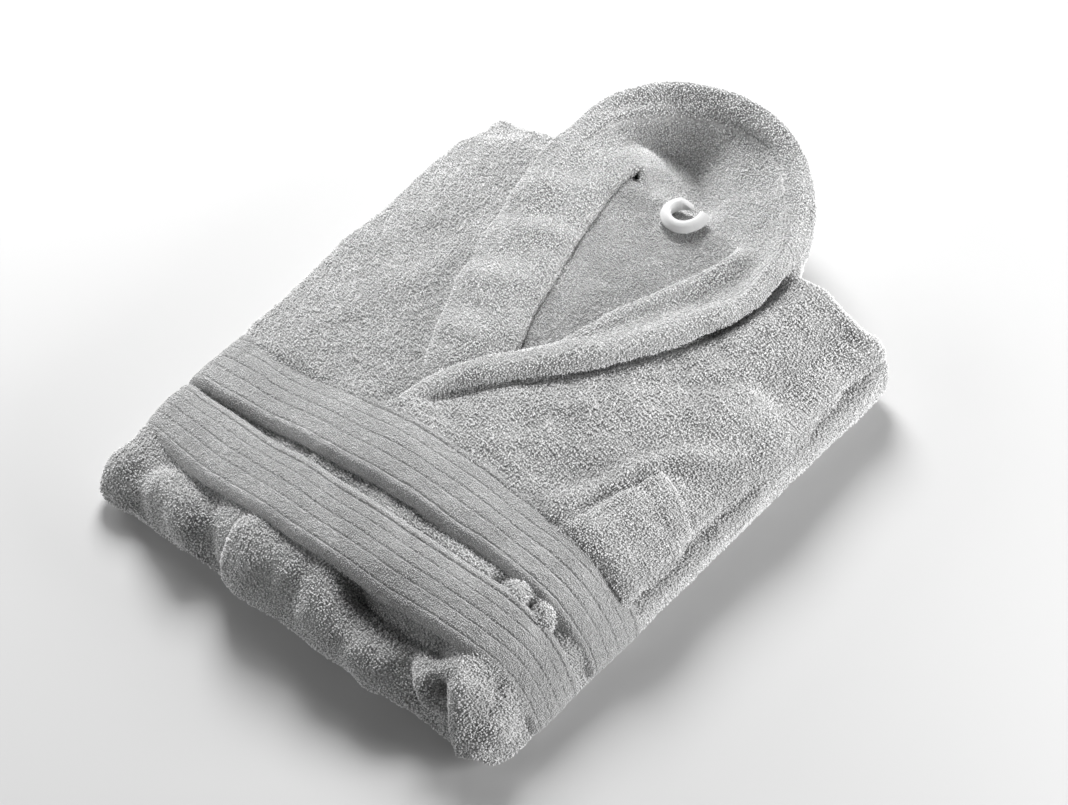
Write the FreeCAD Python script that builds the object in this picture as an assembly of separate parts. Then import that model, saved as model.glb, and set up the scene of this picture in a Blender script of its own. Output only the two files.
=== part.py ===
import FreeCAD, Part
import math
import os
from FreeCAD import Vector

# Hooded terry bathrobe, folded into a flat bundle, front up, and tied with its own belt.
# Millimetres. +X to the right seen from the foot fold, +Y towards the hood, +Z up.
# Origin: bottom centre of the whole object's box.

# ---- driving dimensions -------------------------------------------------------------------
FOOT_Y = -250.0             # outermost line of the foot fold
HEAD_Y = 172.0              # shoulder fold, where the bundle ends and the hood begins
BELT_ZONE_Y = -90.0         # the belt squeezes the bundle from here to the foot fold
BUNDLE_TOP = 75.0           # top of the chest
SIDE_X = 177.5              # flat left side; the right side bulges to match
PLAN_EASE = 3.0             # keeps the plan outline just outside the flat side
PANEL = 9.0                 # doubled terry, pressed in the bundle
PLAN_RADIUS = 26.0          # corners of the bundle seen from above
FOOT_RADIUS = 30.0          # foot fold seen from the side
HEAD_RADIUS = 14.0          # shoulder fold seen from the side
BEVEL = 24.0                # bevelled corners of the room inside the panels
SHARPEST_RADIUS = 2.0       # smallest rounding of any drawn-in or limiting outline

OVERLAP_X = -55.0           # free edge of the right front over the left one
YOKE_THICK = 4.0
LAPEL_THICK = 7.0
ROLL_THICK = 12.0
INNER_X = (-84.0, 136.0)    # the folded-in sleeves and skirt
INNER_Y = (-224.0, 154.0)
INNER_Z = (25.0, 44.0)
SLEEVE_FLOOR_Z = 34.5       # sleeves lie above this, the folded skirt below
CUFF_Y = -150.0
SKIRT_HEM_Y = -195.0

POCKET_THICK = 2.5
POCKET_TOP_Y = -33.0
POCKET_FOOT_Y = -165.0
POCKET_EDGE_X = 118.0       # the right pocket starts here and turns down the side
POCKET_LOW_Z = 42.0
LEFT_POCKET_Z = (14.0, 36.0)  # the left pocket is turned down the left side
SIDE_STRIP_X = 130.0        # pieces on the side walls lie further out than this
CARRIER_THICK = 2.3
CARRIER_Y = (-218.0, -166.0)
LEFT_CARRIER_Z = (22.0, 37.0)
RIGHT_CARRIER_Z = (14.0, 29.0)

BELT_WIDTH = 55.0
BELT_THICK = 5.3
BELT_GAP = 3.0              # room between the squeezed bundle and the belt
SQUEEZE = BELT_THICK + BELT_GAP
UPPER_WRAP_Y = -124.0
LOWER_WRAP_Y = -190.0
BELT_JOIN_X = 100.0         # where a wrap ends and the crossover or a loose end begins
BELT_END_LENGTH = 24.0
BELT_JOIN_Z = 20.0          # below this the wraps are cut open at the joins

HOOD_CENTRE = Vector(-3.0, 168.0, 84.0)
HOOD_RADIUS_X = 104.0
HOOD_RADIUS_YZ = 82.0
HOOD_WALL = 7.0
HOOD_NECK_Y = 173.5         # the hood starts just past the shoulder fold
HOOD_RIM_NEAR_Z = 80.0
HOOD_RIM_FAR_Z = 95.0
HOOD_NECK_TOP_Z = 62.0
HOOD_SEAM_X = 0.0
HEM_DEPTH = 20.0
HEM_EXTRA = 3.0             # the hem is doubled on the inside

LOOP_CENTRE = Vector(5.0, 153.0, 0.0)
LOOP_RADIUS = 13.0          # centre line of the strap
LOOP_STRAP = 3.6            # thickness of the strap
LOOP_HEIGHT = 10.0          # width of the strap, which stands on edge
LOOP_SEAM_Y = 165.5
LOOP_MOUTH_HALF_ANGLE = 32.0
LOOP_TAB_OVERLAP = 2.5      # each straight tab runs this far into the ring
LOOP_LIFT = 0.4             # the strap stands just clear of the yoke

FAR = 600.0                 # longer than the object, for cutting blocks
OVERSHOOT = 1.0             # how far a cutting form runs past the face it cuts
LAYER_GAP = 0.3             # between two pieces of one folded-in layer
YOKE_Z = BUNDLE_TOP - PANEL


# ---- helpers ------------------------------------------------------------------------------
def block(x=(-FAR, FAR), y=(-FAR, FAR), z=(-FAR, FAR)):
    return Part.makeBox(x[1] - x[0], y[1] - y[0], z[1] - z[0], Vector(x[0], y[0], z[0]))


def rounded_wire(corners):
    """Closed wire through (point, radius) corners, each one rounded by a tangent arc."""
    arcs = []
    for i, (point, radius) in enumerate(corners):
        back = (corners[i - 1][0] - point).normalize()
        ahead = (corners[(i + 1) % len(corners)][0] - point).normalize()
        half = back.getAngle(ahead) / 2.0
        reach = radius / math.tan(half)
        inward = (back + ahead).normalize()
        crown = point + inward * (radius / math.sin(half) - radius)
        arcs.append((point + back * reach, crown, point + ahead * reach))
    edges = []
    for i, (start, crown, end) in enumerate(arcs):
        edges.append(Part.Arc(start, crown, end).toShape())
        edges.append(Part.makeLine(end, arcs[(i + 1) % len(arcs)][0]))
    return Part.Wire(edges)


def prism(wire, start, length_vector):
    shifted = wire.copy()
    shifted.translate(start)
    return Part.Face(shifted).extrude(length_vector)


def plan_prism(points, z0, z1):
    """Upright prism over a plan outline given as (x, y) corners."""
    vectors = [Vector(x, y, z0) for x, y in points]
    wire = Part.makePolygon(vectors + vectors[:1])
    return Part.Face(wire).extrude(Vector(0, 0, z1 - z0))


def save(name, shape):
    solid = shape.removeSplitter()
    if len(solid.Solids) == 1:
        solid = solid.Solids[0]
    solid.exportStep(f"parts/{name}.step")
    box = solid.BoundBox
    print(f"{name}: {len(shape.Solids)} solid, valid {solid.isValid()}, "
          f"{solid.Volume / 1000:.1f} cm3, x {box.XMin:.1f} {box.XMax:.1f}, "
          f"y {box.YMin:.1f} {box.YMax:.1f}, z {box.ZMin:.1f} {box.ZMax:.1f}")


# ---- the bundle's outline -----------------------------------------------------------------
# Cross-section seen along Y, as (x, z, corner radius): a long slope on the left side and a
# full shoulder on the right.
SECTION = [
    (-168.0, 0.0, 12.0),
    (-SIDE_X, 14.0, 14.0),
    (-SIDE_X, 38.0, 14.0),
    (-45.0, BUNDLE_TOP, 140.0),
    (142.0, BUNDLE_TOP, 30.0),
    (184.3, 27.0, 22.0),
    (170.0, 0.0, 12.0),
]


def section_wire(inset):
    """The cross-section with every side moved inwards by inset and its corners rounded."""
    points = [Vector(x, 0, z) for x, z, radius in SECTION]
    corners = []
    for i, point in enumerate(points):
        back = (points[i - 1] - point).normalize()
        ahead = (points[(i + 1) % len(points)] - point).normalize()
        reach = inset / math.sin(back.getAngle(ahead) / 2.0)
        radius = max(SECTION[i][2] - inset, SHARPEST_RADIUS)
        corners.append((point + (back + ahead).normalize() * reach, radius))
    return rounded_wire(corners)


def along_y(wire, y0, y1):
    return prism(wire, Vector(0, y0, 0), Vector(0, y1 - y0, 0))


def section_skin(inset, thickness, y0, y1):
    """Layer of even thickness whose inner face is the section drawn in by inset."""
    return along_y(section_wire(inset - thickness), y0, y1).cut(along_y(section_wire(inset), y0, y1))


def side_limit(corner_list):
    return prism(rounded_wire(corner_list), Vector(-FAR, 0, 0), Vector(2 * FAR, 0, 0))


def bundle():
    """The whole bundle: a chest part and a squeezed belt part, with rounded folds."""
    high = BUNDLE_TOP - SQUEEZE
    foot_fold = side_limit([
        (Vector(0, FOOT_Y, SQUEEZE - OVERSHOOT), FOOT_RADIUS),
        (Vector(0, FOOT_Y, high + OVERSHOOT), FOOT_RADIUS),
        (Vector(0, FAR, high + OVERSHOOT), SHARPEST_RADIUS),
        (Vector(0, FAR, SQUEEZE - OVERSHOOT), SHARPEST_RADIUS),
    ])
    shoulder_fold = side_limit([
        (Vector(0, -FAR, 0), SHARPEST_RADIUS),
        (Vector(0, -FAR, BUNDLE_TOP), SHARPEST_RADIUS),
        (Vector(0, HEAD_Y, BUNDLE_TOP), HEAD_RADIUS),
        (Vector(0, HEAD_Y, 0), HEAD_RADIUS),
    ])
    half_width = SIDE_X + PLAN_EASE
    plan = rounded_wire([
        (Vector(-half_width, FOOT_Y, 0), PLAN_RADIUS),
        (Vector(half_width, FOOT_Y, 0), PLAN_RADIUS),
        (Vector(half_width, HEAD_Y, 0), PLAN_RADIUS),
        (Vector(-half_width, HEAD_Y, 0), PLAN_RADIUS),
    ])
    chest = along_y(section_wire(0.0), BELT_ZONE_Y, FAR).common(shoulder_fold)
    waist = along_y(section_wire(SQUEEZE), -FAR, BELT_ZONE_Y).common(foot_fold)
    return chest.fuse(waist).common(prism(plan, Vector(0, 0, -FAR), Vector(0, 0, 2 * FAR)))


def room_inside():
    """Room inside the front panels, with plain bevelled ends under the rounded folds."""
    step_y = BELT_ZONE_Y + PANEL
    foot_y = FOOT_Y + PANEL
    head_y = HEAD_Y - PANEL
    side_x = SIDE_X - PANEL + PLAN_EASE
    chest = along_y(section_wire(PANEL), step_y, head_y)
    waist = along_y(section_wire(SQUEEZE + PANEL), foot_y, step_y)
    past_head = head_y + OVERSHOOT
    half_plan = [
        (side_x - BEVEL, foot_y),
        (side_x, foot_y + BEVEL),
        (side_x, head_y - BEVEL),
        (side_x - BEVEL, past_head),
    ]
    plan = half_plan + [(-x, y) for x, y in reversed(half_plan)]
    return chest.fuse(waist).common(plan_prism(plan, -OVERSHOOT, FAR))


# ---- panels, back and the folded-in layers -------------------------------------------------
LEFT_NECK_EDGE = [(-47.0, 163.0), (-41.0, 120.0), (-31.0, 77.0), (-15.0, 21.0), (-3.0, -8.0)]
RIGHT_NECK_EDGE = [(13.0, 2.0), (25.0, 45.0), (49.0, 118.0), (60.0, 163.0)]
NECK_OPENING = [(-47.0, FAR)] + LEFT_NECK_EDGE + RIGHT_NECK_EDGE + [(60.0, FAR)]


def make_layers():
    outer = bundle()
    core = room_inside()
    inner_core = block(x=INNER_X, y=INNER_Y, z=INNER_Z)
    opening = plan_prism(NECK_OPENING, YOKE_Z, FAR)
    head_wall = block(y=(HEAD_Y - PANEL, FAR), z=(0.0, YOKE_Z))
    fronts = outer.cut(core).cut(opening).cut(head_wall)
    save("front_panel_left", fronts.common(block(x=(-FAR, OVERLAP_X))))
    save("front_panel_right", fronts.common(block(x=(OVERLAP_X, FAR))))
    save("back_panel", core.cut(inner_core).fuse(outer.common(head_wall)))
    yoke_top = YOKE_Z + YOKE_THICK
    yoke = opening.common(block(y=(-FAR, HEAD_Y - HEAD_RADIUS), z=(YOKE_Z, yoke_top)))
    save("back_neck_yoke", yoke)

    sleeves = inner_core.common(block(z=(SLEEVE_FLOOR_Z, FAR)))
    skirt = inner_core.common(block(z=(-FAR, SLEEVE_FLOOR_Z - LAYER_GAP)))
    for side, x_range in (("left", (-FAR, -1.0)), ("right", (1.0, FAR))):
        half = sleeves.common(block(x=x_range))
        save(f"sleeve_{side}", half.common(block(y=(CUFF_Y + LAYER_GAP, FAR))))
        save(f"cuff_{side}", half.common(block(y=(-FAR, CUFF_Y))))
    save("skirt_fold", skirt.common(block(y=(SKIRT_HEM_Y + LAYER_GAP, FAR))))
    save("skirt_hem", skirt.common(block(y=(-FAR, SKIRT_HEM_Y))))


# ---- pockets and belt carriers --------------------------------------------------------------
def pocket(region):
    """Patch pocket lying on the chest, stepping down into the belt zone."""
    chest = section_skin(0.0, POCKET_THICK, BELT_ZONE_Y - POCKET_THICK, POCKET_TOP_Y)
    step = section_skin(SQUEEZE, SQUEEZE + POCKET_THICK, BELT_ZONE_Y - POCKET_THICK, BELT_ZONE_Y)
    waist = section_skin(SQUEEZE, POCKET_THICK, POCKET_FOOT_Y, BELT_ZONE_Y)
    return chest.fuse(step).fuse(waist).common(region)


def belt_carrier(region):
    skin = section_skin(SQUEEZE, CARRIER_THICK, CARRIER_Y[0], CARRIER_Y[1])
    return skin.common(region)


def make_pockets_and_carriers():
    save("pocket_right", pocket(block(x=(POCKET_EDGE_X, FAR), z=(POCKET_LOW_Z, FAR))))
    save("pocket_left", pocket(block(x=(-FAR, -SIDE_STRIP_X), z=LEFT_POCKET_Z)))
    save("belt_loop_right", belt_carrier(block(x=(SIDE_STRIP_X, FAR), z=RIGHT_CARRIER_Z)))
    save("belt_loop_left", belt_carrier(block(x=(-FAR, -SIDE_STRIP_X), z=LEFT_CARRIER_Z)))


# ---- lapels ---------------------------------------------------------------------------------
LEFT_OUTER_EDGE = [(-38.0, -62.0), (-56.0, -32.0), (-68.0, -4.0), (-82.0, 38.0), (-90.0, 64.0),
                   (-98.0, 104.0), (-106.0, 163.0)]
RIGHT_OUTER_EDGE = [(93.0, 163.0), (93.0, 106.0), (85.0, 74.0), (73.0, 46.0), (50.0, 12.0),
                    (16.0, -30.0), (-6.0, -56.0), (-36.0, -88.0)]
ROLL_END = [(-41.0, -84.0), (-36.0, -62.0), (-20.0, -30.0)]


def make_lapels():
    over_chest = section_skin(0.0, LAPEL_THICK, -FAR, FAR)
    right_outline = RIGHT_OUTER_EDGE + ROLL_END + RIGHT_NECK_EDGE
    right = plan_prism(right_outline, BUNDLE_TOP, BUNDLE_TOP + ROLL_THICK)
    left_outline = LEFT_NECK_EDGE + LEFT_OUTER_EDGE
    left = plan_prism(left_outline, BUNDLE_TOP / 2, FAR).common(over_chest)
    save("lapel_left", left.cut(right))
    save("lapel_right", right)


# ---- hood -----------------------------------------------------------------------------------
def ellipsoid(inset):
    """Rounded bowl form, turned about the X axis through the hood's centre."""
    major = HOOD_RADIUS_X - inset
    minor = HOOD_RADIUS_YZ - inset
    arc = Part.Ellipse(HOOD_CENTRE, major, minor).toShape(0.0, math.pi)
    left = HOOD_CENTRE - Vector(major, 0, 0)
    right = HOOD_CENTRE + Vector(major, 0, 0)
    face = Part.Face(Part.Wire([arc, Part.makeLine(left, right)]))
    return face.revolve(HOOD_CENTRE, Vector(1, 0, 0), 360)


def below_rim(drop):
    """Everything past the neck and lower than the slanting rim, less drop."""
    far_y = HOOD_CENTRE.y + HOOD_RADIUS_YZ
    slope = (HOOD_RIM_FAR_Z - HOOD_RIM_NEAR_Z) / (far_y - HOOD_NECK_Y)
    end_y = far_y + OVERSHOOT
    end_z = HOOD_RIM_NEAR_Z + slope * (end_y - HOOD_NECK_Y) - drop
    corners = [Vector(-FAR, HOOD_NECK_Y, -FAR), Vector(-FAR, HOOD_NECK_Y, HOOD_RIM_NEAR_Z - drop),
               Vector(-FAR, end_y, end_z), Vector(-FAR, end_y, -FAR)]
    return Part.Face(Part.makePolygon(corners + corners[:1])).extrude(Vector(2 * FAR, 0, 0))


def make_hood():
    outer = ellipsoid(0.0)
    under_hem = below_rim(HEM_DEPTH + LAYER_GAP)
    bowl = outer.cut(ellipsoid(HOOD_WALL)).common(under_hem)
    neck_slab = block(y=(HOOD_NECK_Y, HOOD_NECK_Y + HOOD_WALL), z=(-FAR, HOOD_NECK_TOP_Z))
    shell = bowl.fuse(outer.common(neck_slab).common(under_hem))
    save("hood_left", shell.common(block(x=(-FAR, HOOD_SEAM_X))))
    save("hood_right", shell.common(block(x=(HOOD_SEAM_X, FAR))))
    band = outer.cut(ellipsoid(HOOD_WALL + HEM_EXTRA))
    save("hood_hem", band.common(below_rim(0.0)).cut(below_rim(HEM_DEPTH)))


# ---- hanging loop ----------------------------------------------------------------------------
def make_hanging_loop():
    base = LOOP_CENTRE + Vector(0, 0, YOKE_Z + YOKE_THICK + LOOP_LIFT)
    ring = Part.makeCylinder(LOOP_RADIUS + LOOP_STRAP / 2, LOOP_HEIGHT, base)
    ring = ring.cut(Part.makeCylinder(LOOP_RADIUS - LOOP_STRAP / 2, LOOP_HEIGHT, base))
    half = math.radians(LOOP_MOUTH_HALF_ANGLE)
    mouth_x = LOOP_RADIUS * math.sin(half)
    mouth_y = LOOP_CENTRE.y + LOOP_RADIUS * math.cos(half)
    ring = ring.cut(block(x=(base.x - mouth_x, base.x + mouth_x), y=(LOOP_CENTRE.y, FAR)))
    tab_y = (mouth_y - LOOP_TAB_OVERLAP, LOOP_SEAM_Y)
    tab_z = (base.z, base.z + LOOP_HEIGHT)
    for low_x in (base.x - mouth_x - LOOP_STRAP, base.x + mouth_x):
        ring = ring.fuse(block(x=(low_x, low_x + LOOP_STRAP), y=tab_y, z=tab_z))
    save("hanging_loop", ring)


# ---- belt ------------------------------------------------------------------------------------
def belt_wrap(centre_y):
    """One turn of the belt, open at the bottom between the two joins."""
    half = BELT_WIDTH / 2
    ring = section_skin(BELT_THICK, BELT_THICK, centre_y - half, centre_y + half)
    return ring.cut(block(x=(-BELT_JOIN_X, BELT_JOIN_X), z=(-OVERSHOOT, BELT_JOIN_Z)))


def make_belt():
    half = BELT_WIDTH / 2
    save("belt_upper_wrap", belt_wrap(UPPER_WRAP_Y))
    save("belt_lower_wrap", belt_wrap(LOWER_WRAP_Y))
    crossover = [
        (-BELT_JOIN_X, UPPER_WRAP_Y - half),
        (-BELT_JOIN_X, UPPER_WRAP_Y + half),
        (BELT_JOIN_X, LOWER_WRAP_Y + half),
        (BELT_JOIN_X, LOWER_WRAP_Y - half),
    ]
    save("belt_crossover", plan_prism(crossover, 0.0, BELT_THICK))
    inner_x = BELT_JOIN_X - BELT_END_LENGTH
    ends = (
        ("upper", UPPER_WRAP_Y, (inner_x, BELT_JOIN_X)),
        ("lower", LOWER_WRAP_Y, (-BELT_JOIN_X, -inner_x)),
    )
    for name, centre_y, x_range in ends:
        end = block(x=x_range, y=(centre_y - half, centre_y + half), z=(0.0, BELT_THICK))
        save(f"belt_end_{name}", end)


os.makedirs("parts", exist_ok=True)
make_layers()
make_pockets_and_carriers()
make_lapels()
make_hood()
make_hanging_loop()
make_belt()
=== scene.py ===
import math

import bmesh
import bpy
import numpy as np
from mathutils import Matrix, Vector
from mathutils.bvhtree import BVHTree


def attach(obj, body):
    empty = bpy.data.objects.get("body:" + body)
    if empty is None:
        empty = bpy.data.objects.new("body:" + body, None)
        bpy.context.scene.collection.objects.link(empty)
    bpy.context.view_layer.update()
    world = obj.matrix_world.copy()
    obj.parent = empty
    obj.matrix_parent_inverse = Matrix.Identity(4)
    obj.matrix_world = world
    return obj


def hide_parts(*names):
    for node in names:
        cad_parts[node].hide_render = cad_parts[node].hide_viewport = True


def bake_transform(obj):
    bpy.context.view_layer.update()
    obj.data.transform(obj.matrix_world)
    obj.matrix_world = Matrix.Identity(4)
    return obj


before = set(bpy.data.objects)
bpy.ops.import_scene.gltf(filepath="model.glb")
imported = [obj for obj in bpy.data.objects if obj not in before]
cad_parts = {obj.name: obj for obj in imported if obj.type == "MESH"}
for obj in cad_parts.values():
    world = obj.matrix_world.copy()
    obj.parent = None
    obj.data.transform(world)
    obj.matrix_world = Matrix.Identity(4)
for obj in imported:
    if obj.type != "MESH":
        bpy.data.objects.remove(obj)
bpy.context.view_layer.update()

# A hooded terry bathrobe folded into a bundle and tied with its own belt. The foot of the bundle is
# towards -y and the hood towards +y; "left" is -x, as seen from the foot.
# Shapes are worked out in millimetres in the frame of the CAD model, then scaled to metres.
MM = 0.001


# ---- curves, lofts and noise ----
def cubic(values, slopes, knots, at):
    """Cubic pieces through values with the given slopes at their knots, read at some positions."""
    i = np.clip(np.searchsorted(knots, at, side="right") - 1, 0, len(knots) - 2)
    shape = (-1,) + (1,) * (values.ndim - 1)
    step = (knots[i + 1] - knots[i]).reshape(shape)
    t = (at - knots[i]).reshape(shape) / step
    return ((2 * t**3 - 3 * t**2 + 1) * values[i] + (t**3 - 2 * t**2 + t) * step * slopes[i]
            + (3 * t**2 - 2 * t**3) * values[i + 1] + (t**3 - t**2) * step * slopes[i + 1])


def hermite(values, at, knots):
    """Smooth curve through values at their knots."""
    values = np.asarray(values, float)
    return cubic(values, np.gradient(values, knots, axis=0), knots, at)


def steady(values, at, knots):
    """Curve through values at their knots that never swings past them."""
    rise = np.diff(values, axis=0) / np.diff(knots).reshape((-1,) + (1,) * (values.ndim - 1))
    slopes = np.zeros_like(values)
    both = rise[1:] * rise[:-1]
    slopes[1:-1] = np.where(both > 0, 2 * both / np.where(both > 0, rise[1:] + rise[:-1], 1), 0)
    return cubic(values, slopes, knots, at)


def along(points):
    """Knots for points by the distance between them, from 0 to 1."""
    points = np.asarray(points, float)
    gaps = np.linalg.norm(np.diff(points, axis=0).reshape(len(points) - 1, -1), axis=1)
    knots = np.concatenate([[0], np.cumsum(gaps)])
    return knots / knots[-1]


def curve(points, count):
    return hermite(points, np.linspace(0, 1, count), along(points))


def loft(stations, rows, columns):
    """Smooth grid (rows, columns, 3) through stations of matching control points."""
    stations = np.asarray(stations, float)
    across = np.linspace(0, 1, stations.shape[1])
    fine = hermite(np.swapaxes(stations, 0, 1), np.linspace(0, 1, columns), across)
    return hermite(np.swapaxes(fine, 0, 1), np.linspace(0, 1, rows), along(stations))


def lattice_noise(points, size, seed):
    """Smooth noise from -1 to 1 with features of the given size, the same on every run."""
    q = points / size + seed * 17.31
    cell = np.floor(q).astype(np.int64)
    f = q - cell
    f = f * f * f * (f * (f * 6 - 15) + 10)
    total = np.zeros(points.shape[:-1])
    for corner in range(8):
        bit = np.array([corner & 1, corner >> 1 & 1, corner >> 2 & 1])
        c = cell + bit
        h = (c[..., 0] * 374761393 + c[..., 1] * 668265263 + c[..., 2] * 2147483647
             + seed * 1274126177) & 0xFFFFFFFF
        h = ((h ^ (h >> 13)) * 1274126177) & 0xFFFFFFFF
        value = ((h ^ (h >> 16)) & 0xFFFF) / 32767.5 - 1
        total += value * np.where(bit, f, 1 - f).prod(-1)
    return total


def distance_to_line(points, line):
    """Distance of every point from a run of straight pieces."""
    best = np.full(points.shape[:-1], np.inf)
    for a, b in zip(line[:-1], line[1:]):
        d = b - a
        t = np.clip(((points - a) @ d) / (d @ d), 0, 1)
        best = np.minimum(best, np.linalg.norm(points - a - t[..., None] * d, axis=-1))
    return best


def unit(v):
    return v / np.maximum(np.linalg.norm(v, axis=-1, keepdims=True), 1e-9)


def ease(t):
    """Smooth step: from 0 to 1 with no slope at either end."""
    return t * t * (3 - 2 * t)


def ramp_up(values, start, width):
    """Straight ramp from 0 at the start to 1 after the width, held at 0 and 1 beyond."""
    return np.clip((values - start) / width, 0, 1)


def bell(values, middle, width):
    """Bell curve with height 1 at the middle."""
    return np.exp(-((values - middle) / width) ** 2)


def upward(out, row, column):
    """The same directions, turned round if they point down at the given place of the grid."""
    return -out if out[row, column, 2] < 0 else out


def as_grid(x, y, z):
    return np.stack(np.broadcast_arrays(x, y, z), axis=-1)


def normals(grid, closed=False):
    """Unit normals of a grid, towards the cross product of its row and column directions."""
    if closed:
        wide = np.concatenate([grid[:, -1:], grid, grid[:, :1]], axis=1)
        by_column = (wide[:, 2:] - wide[:, :-2])
    else:
        by_column = np.gradient(grid, axis=1)
    return unit(np.cross(np.gradient(grid, axis=0), by_column))


def sculpt(grid, out, moves):
    """Pushes the grid along out: each move is (line, radius, height)."""
    push = np.zeros(grid.shape[:-1])
    for line, radius, height in moves:
        smooth_line = curve(np.array(line, float), 4 * len(line))
        push += height * bell(distance_to_line(grid, smooth_line), 0, radius)
    return grid + out * push[..., None]


def rough(grid, out, layers, seed):
    """Adds soft unevenness: each layer is (feature size, height)."""
    push = sum(h * lattice_noise(grid, size, seed + i) for i, (size, h) in enumerate(layers))
    return grid + out * push[..., None]


# ---- meshes ----
CAP_ROWS = 3  # rows that round off each end of a slab


def make(name, points, faces):
    mesh = bpy.data.meshes.new(name)
    mesh.from_pydata((np.asarray(points) * MM).tolist(), [], faces)
    mesh.validate()
    obj = bpy.data.objects.new(name, mesh)
    bpy.context.scene.collection.objects.link(obj)
    return obj


def ring_faces(rows, ring):
    return [(r + c, r + (c + 1) % ring, r + ring + (c + 1) % ring, r + ring + c)
            for r in range(0, (rows - 1) * ring, ring) for c in range(ring)]


def slab(name, grid, half, out, edge_steps=5, bare=None):
    """Closed sheet of cloth: a grid thickened by half on both faces, with rounded edges and ends.

    Where bare is given, it marks the places of the upper face that carry no pile.
    """
    half = np.broadcast_to(np.asarray(half, float), grid.shape[:2])
    rows, columns = grid.shape[:2]
    left = unit(grid[:, 0] - grid[:, 1])
    right = unit(grid[:, -1] - grid[:, -2])
    angles = np.linspace(90, -90, edge_steps + 2)[1:-1]

    def rounded(edge, normal, side, thick, turn):
        return [edge + thick[:, None] * (np.cos(np.radians(a)) * side + np.sin(np.radians(a)) * normal)
                for a in turn]

    def ring_of(middle, normal, thick, left_side, right_side):
        over = [middle[:, k] + normal[:, k] * thick[:, k, None] for k in range(columns)]
        below = [middle[:, k] - normal[:, k] * thick[:, k, None] for k in reversed(range(columns))]
        right_edge = rounded(middle[:, -1], normal[:, -1], right_side, thick[:, -1], angles)
        left_edge = rounded(middle[:, 0], normal[:, 0], left_side, thick[:, 0], angles[::-1])
        return np.stack(over + right_edge + below + left_edge, axis=1)

    body = ring_of(grid, out, half, left, right)
    ends = []
    for row, side in ((0, unit(grid[0] - grid[1])), (-1, unit(grid[-1] - grid[-2]))):
        layers = []
        for a in np.radians(np.linspace(0, 90, CAP_ROWS + 2)[1:]):
            middle = grid[row] + side * (half[row][:, None] * math.sin(a))
            thick = half[row] * max(math.cos(a), 0.02)
            layers.append(ring_of(middle[None], out[row][None], thick[None],
                                  left[row][None], right[row][None])[0])
        ends.append(layers)
    everything = np.concatenate([np.array(ends[0][::-1]), body, np.array(ends[1])])
    count, ring = everything.shape[:2]
    faces = ring_faces(count, ring)
    for base in (0, (count - 1) * ring):
        last = base + 2 * columns + edge_steps
        top = range(base, base + columns)
        under = range(last - 1, last - 1 - columns, -1)
        faces += [(top[k], top[k + 1], under[k + 1], under[k]) for k in range(columns - 1)]
        faces.append((top[-1], *range(base + columns, base + columns + edge_steps), under[-1]))
        faces.append((under[0], *range(last, last + edge_steps), top[0]))
    obj = make(name, everything.reshape(-1, 3), faces)
    if bare is not None:
        flags = np.zeros((count, ring))
        flags[CAP_ROWS + 1:CAP_ROWS + 1 + rows, :columns] = bare
        attribute = obj.data.attributes.new("bare", "FLOAT", "POINT")
        attribute.data.foreach_set("value", flags.ravel())
    tidy_mesh(obj)
    return obj


def tidy_mesh(obj, merge=0.00002):
    """Merges points closer than the given metres, turns every face outward and shades it smooth."""
    bm = bmesh.new()
    bm.from_mesh(obj.data)
    bmesh.ops.remove_doubles(bm, verts=bm.verts, dist=merge)
    bmesh.ops.dissolve_degenerate(bm, edges=bm.edges, dist=merge / 2)
    bmesh.ops.recalc_face_normals(bm, faces=bm.faces)
    bm.to_mesh(obj.data)
    bm.free()
    obj.data.polygons.foreach_set("use_smooth", [True] * len(obj.data.polygons))


# ---- the bundle ----
FOOT_START = -214.0  # y at which the layers begin to fold down at the foot
HEAD_START = 158.0  # y at which they begin to fold down at the head
FRONT_FOOT_MID = 27.0  # height of the foot fold's centre line, right front
UNDER_FOOT_MID = 13.0  # the same for the layers under it
HEAD_MID = 34.0  # height of the head fold's centre line
ROW_STEP = 2.2  # distance between rows along the bundle
FOOT_ROWS = 16  # rows in a quarter turn at the foot
HEAD_ROWS = 12  # rows in the turn at the head
FOOT_NARROWING = 0.055  # share by which the bundle narrows at the end of the foot fold
HEAD_NARROWING = 0.05  # the same at the head

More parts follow.
